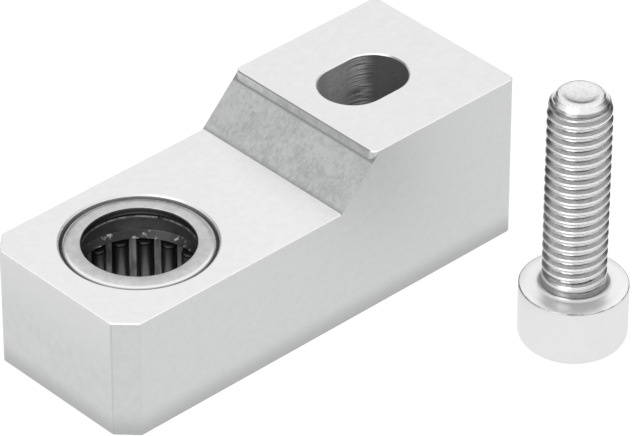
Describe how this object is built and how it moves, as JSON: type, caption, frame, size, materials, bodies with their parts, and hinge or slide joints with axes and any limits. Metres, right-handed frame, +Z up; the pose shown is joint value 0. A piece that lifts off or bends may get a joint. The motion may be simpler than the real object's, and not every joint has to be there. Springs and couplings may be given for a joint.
{
  "type": "counter bearing",
  "caption": "Stepped aluminium bearing block with a pressed-in needle bearing in its low end, a slotted screw hole in its raised end and its socket head cap screw beside it.",
  "frame": {"origin": "on the needle bearing's axis, in the block's mounting plane", "axes": "+X along the block from the bearing to the raised end, +Z up along the bearing axis, away from the mounting plane"},
  "size_m": [0.0465, 0.0381, 0.0259],
  "materials": {
    "block": "fine satin, slightly mottled, with bright broken edges",
    "cup": "smooth drawn steel",
    "cage": "dark case-hardened steel under oil",
    "roller": "ground bearing steel",
    "screw": "bright zinc plate"
  },
  "bodies": {
    "housing": {"bearing_block": "block", "bearing_cup": "cup", "mounting_screw": "screw"},
    "cage": {"needle_cage": "cage"},
    "roller_01": {"needle_roller_01": "roller"},
    "roller_02": {"needle_roller_02": "roller"},
    "roller_03": {"needle_roller_03": "roller"},
    "roller_04": {"needle_roller_04": "roller"},
    "roller_05": {"needle_roller_05": "roller"},
    "roller_06": {"needle_roller_06": "roller"},
    "roller_07": {"needle_roller_07": "roller"},
    "roller_08": {"needle_roller_08": "roller"},
    "roller_09": {"needle_roller_09": "roller"},
    "roller_10": {"needle_roller_10": "roller"},
    "roller_11": {"needle_roller_11": "roller"},
    "roller_12": {"needle_roller_12": "roller"},
    "roller_13": {"needle_roller_13": "roller"},
    "roller_14": {"needle_roller_14": "roller"},
    "roller_15": {"needle_roller_15": "roller"},
    "roller_16": {"needle_roller_16": "roller"}
  },
  "joints": [
    {"name": "cage_spin", "type": "hinge", "parent": "housing", "child": "cage", "pos_m": [0, 0, 0.006], "axis": [0, 0, 1], "continuous": true},
    {"name": "roller_01_spin", "type": "hinge", "parent": "cage", "child": "roller_01", "pos_m": [0.00414, 0.00399, 0.006], "axis": [0, 0, 1], "continuous": true},
    {"name": "roller_02_spin", "type": "hinge", "parent": "cage", "child": "roller_02", "pos_m": [0.00229, 0.00527, 0.006], "axis": [0, 0, 1], "continuous": true},
    {"name": "roller_03_spin", "type": "hinge", "parent": "cage", "child": "roller_03", "pos_m": [0.0001, 0.00575, 0.006], "axis": [0, 0, 1], "continuous": true},
    {"name": "roller_04_spin", "type": "hinge", "parent": "cage", "child": "roller_04", "pos_m": [-0.00211, 0.00535, 0.006], "axis": [0, 0, 1], "continuous": true},
    {"name": "roller_05_spin", "type": "hinge", "parent": "cage", "child": "roller_05", "pos_m": [-0.00399, 0.00414, 0.006], "axis": [0, 0, 1], "continuous": true},
    {"name": "roller_06_spin", "type": "hinge", "parent": "cage", "child": "roller_06", "pos_m": [-0.00527, 0.00229, 0.006], "axis": [0, 0, 1], "continuous": true},
    {"name": "roller_07_spin", "type": "hinge", "parent": "cage", "child": "roller_07", "pos_m": [-0.00575, 0.0001, 0.006], "axis": [0, 0, 1], "continuous": true},
    {"name": "roller_08_spin", "type": "hinge", "parent": "cage", "child": "roller_08", "pos_m": [-0.00535, -0.00211, 0.006], "axis": [0, 0, 1], "continuous": true},
    {"name": "roller_09_spin", "type": "hinge", "parent": "cage", "child": "roller_09", "pos_m": [-0.00414, -0.00399, 0.006], "axis": [0, 0, 1], "continuous": true},
    {"name": "roller_10_spin", "type": "hinge", "parent": "cage", "child": "roller_10", "pos_m": [-0.00229, -0.00527, 0.006], "axis": [0, 0, 1], "continuous": true},
    {"name": "roller_11_spin", "type": "hinge", "parent": "cage", "child": "roller_11", "pos_m": [-0.0001, -0.00575, 0.006], "axis": [0, 0, 1], "continuous": true},
    {"name": "roller_12_spin", "type": "hinge", "parent": "cage", "child": "roller_12", "pos_m": [0.00211, -0.00535, 0.006], "axis": [0, 0, 1], "continuous": true},
    {"name": "roller_13_spin", "type": "hinge", "parent": "cage", "child": "roller_13", "pos_m": [0.00399, -0.00414, 0.006], "axis": [0, 0, 1], "continuous": true},
    {"name": "roller_14_spin", "type": "hinge", "parent": "cage", "child": "roller_14", "pos_m": [0.00527, -0.00229, 0.006], "axis": [0, 0, 1], "continuous": true},
    {"name": "roller_15_spin", "type": "hinge", "parent": "cage", "child": "roller_15", "pos_m": [0.00575, -0.0001, 0.006], "axis": [0, 0, 1], "continuous": true},
    {"name": "roller_16_spin", "type": "hinge", "parent": "cage", "child": "roller_16", "pos_m": [0.00535, 0.00211, 0.006], "axis": [0, 0, 1], "continuous": true}
  ],
  "couplings": [
    {"joint": "roller_01_spin", "follows": "cage_spin", "ratio": -8.7067},
    {"joint": "roller_02_spin", "follows": "cage_spin", "ratio": -8.7067},
    {"joint": "roller_03_spin", "follows": "cage_spin", "ratio": -8.7067},
    {"joint": "roller_04_spin", "follows": "cage_spin", "ratio": -8.7067},
    {"joint": "roller_05_spin", "follows": "cage_spin", "ratio": -8.7067},
    {"joint": "roller_06_spin", "follows": "cage_spin", "ratio": -8.7067},
    {"joint": "roller_07_spin", "follows": "cage_spin", "ratio": -8.7067},
    {"joint": "roller_08_spin", "follows": "cage_spin", "ratio": -8.7067},
    {"joint": "roller_09_spin", "follows": "cage_spin", "ratio": -8.7067},
    {"joint": "roller_10_spin", "follows": "cage_spin", "ratio": -8.7067},
    {"joint": "roller_11_spin", "follows": "cage_spin", "ratio": -8.7067},
    {"joint": "roller_12_spin", "follows": "cage_spin", "ratio": -8.7067},
    {"joint": "roller_13_spin", "follows": "cage_spin", "ratio": -8.7067},
    {"joint": "roller_14_spin", "follows": "cage_spin", "ratio": -8.7067},
    {"joint": "roller_15_spin", "follows": "cage_spin", "ratio": -8.7067},
    {"joint": "roller_16_spin", "follows": "cage_spin", "ratio": -8.7067}
  ]
}
